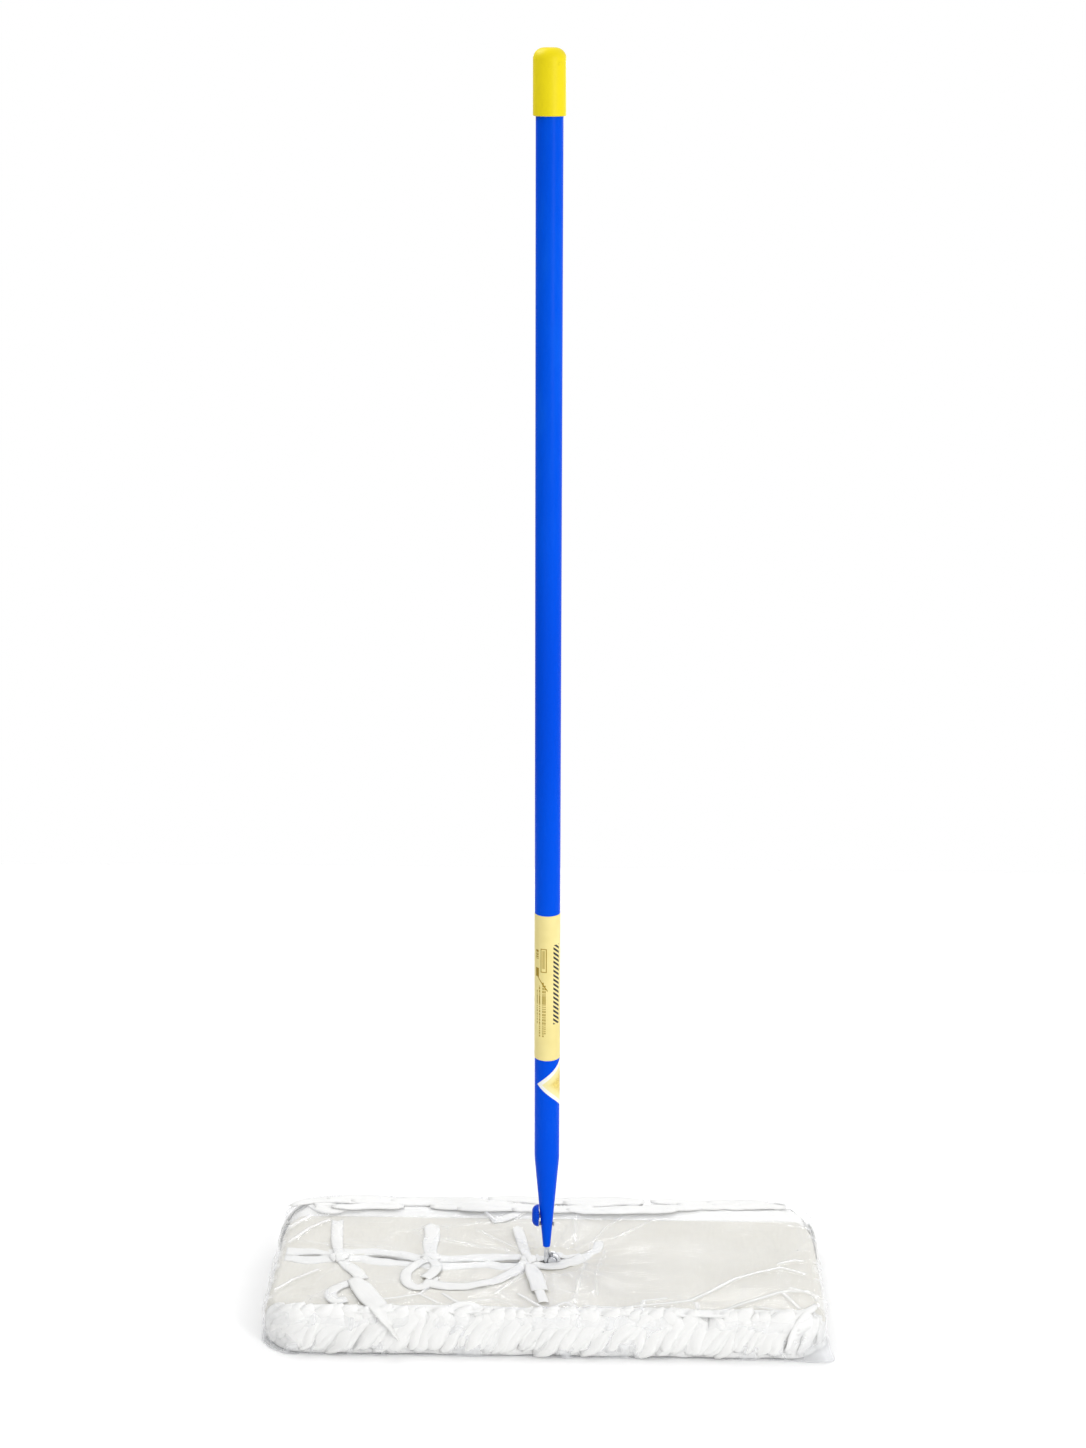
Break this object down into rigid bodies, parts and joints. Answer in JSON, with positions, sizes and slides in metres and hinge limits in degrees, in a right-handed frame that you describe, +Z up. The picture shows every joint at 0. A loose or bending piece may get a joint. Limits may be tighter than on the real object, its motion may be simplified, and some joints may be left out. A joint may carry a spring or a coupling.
{
  "type": "flat cotton mop",
  "caption": "Flat cotton mop on a wire frame, with a long blue tube handle on a two-way tilting knuckle, tied slit pocket, end cap and clear bag over the head.",
  "frame": {"origin": "on the floor, under the handle's axis when the handle stands upright", "axes": "+X along the head's long side, away from the slit's open end; +Y towards the head's rear side; +Z up the handle"},
  "size_m": [0.56, 0.2495, 1.2434],
  "materials": {
    "blue_paint": "glossy powder coat",
    "yellow_plastic": "semi-gloss moulded",
    "label_paper": "satin printed paper",
    "sticker_foil": "glossy printed film",
    "galvanised_rod": "dull zinc",
    "galvanised_wire": "dull zinc",
    "pressed_steel": "dull zinc",
    "dark_steel": "dark, worn",
    "brass_insert": "turned",
    "plug_plastic": "moulded",
    "knob_plastic": "semi-gloss moulded",
    "canvas": "plain-weave ecru cotton",
    "cotton_tape": "woven cotton tape",
    "cotton_strings": "soft cut cotton strings",
    "clear_film": "thin creased film"
  },
  "bodies": {
    "head": {"frame_loop": "galvanised_wire", "frame_cross_wires": "galvanised_wire", "frame_bridge": "galvanised_wire", "stop_collars": "galvanised_wire", "pocket_backing": "canvas", "pocket_top": "canvas", "front_binding": "cotton_tape", "rear_binding": "cotton_tape", "tie_left": "cotton_tape", "tie_middle": "cotton_tape", "tie_right": "cotton_tape", "link_tape": "cotton_tape", "fringe_pad": "cotton_strings", "front_fringe": "cotton_strings", "rear_fringe": "cotton_strings", "left_fringe": "cotton_strings", "right_fringe": "cotton_strings", "clear_bag": "clear_film"},
    "knuckle": {"knuckle_yoke": "pressed_steel", "pivot_pin": "dark_steel"},
    "handle": {"eye_rod": "galvanised_rod", "taper_plug": "plug_plastic", "screw_insert": "brass_insert", "cross_rivet": "dark_steel", "handle_tube": "blue_paint", "label": "label_paper", "diamond_sticker": "sticker_foil", "end_cap": "yellow_plastic"},
    "knob": {"clamp_knob": "knob_plastic", "thumb_screw": "dark_steel"}
  },
  "joints": [
    {"name": "fore_aft_tilt", "type": "hinge", "parent": "head", "child": "knuckle", "pos_m": [0.0057, 0, 0.034], "axis": [1, 0, 0], "range_deg": [-45, 45]},
    {"name": "side_tilt", "type": "hinge", "parent": "knuckle", "child": "handle", "pos_m": [0.0057, 0, 0.0456], "axis": [0, 1, 0], "range_deg": [-45, 45]},
    {"name": "knob_turn", "type": "hinge", "parent": "handle", "child": "knob", "pos_m": [-0.012, 0, 0.0954], "axis": [1, 0, 0], "range_deg": [0, 360]}
  ]
}
